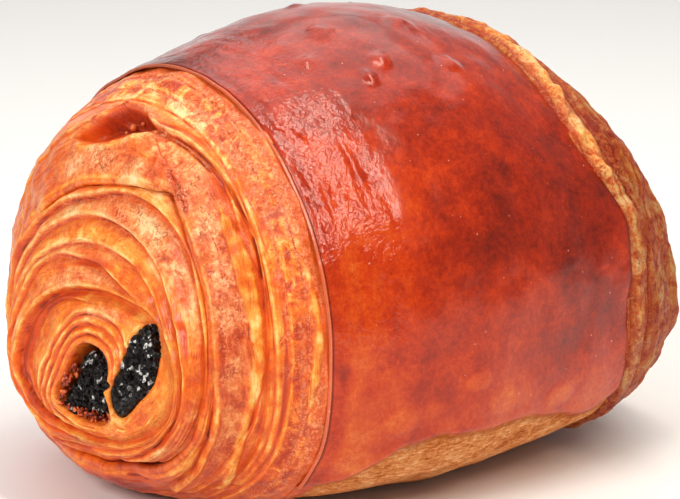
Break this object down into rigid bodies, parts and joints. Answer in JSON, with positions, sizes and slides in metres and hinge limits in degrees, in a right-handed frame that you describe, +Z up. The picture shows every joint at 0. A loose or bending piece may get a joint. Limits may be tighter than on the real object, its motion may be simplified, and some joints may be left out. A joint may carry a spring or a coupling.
{
  "type": "pain au chocolat",
  "caption": "Rolled, laminated pastry with a glazed brown top, layered spiral ends and sticks of dark chocolate showing in the swirl.",
  "frame": {"origin": "on the ground under the middle of the pastry", "axes": "+X along the roll, away from the open swirl that shows in the picture; +Z up"},
  "size_m": [0.0909, 0.0738, 0.0602],
  "materials": {
    "laminated_dough": "baked laminated dough, satin",
    "dark_chocolate": "baked dark chocolate, crusty with small bright facets"
  },
  "bodies": {
    "root": {"pastry": "laminated_dough", "chocolate_stick_1": "dark_chocolate", "chocolate_stick_2": "dark_chocolate"}
  },
  "joints": []
}
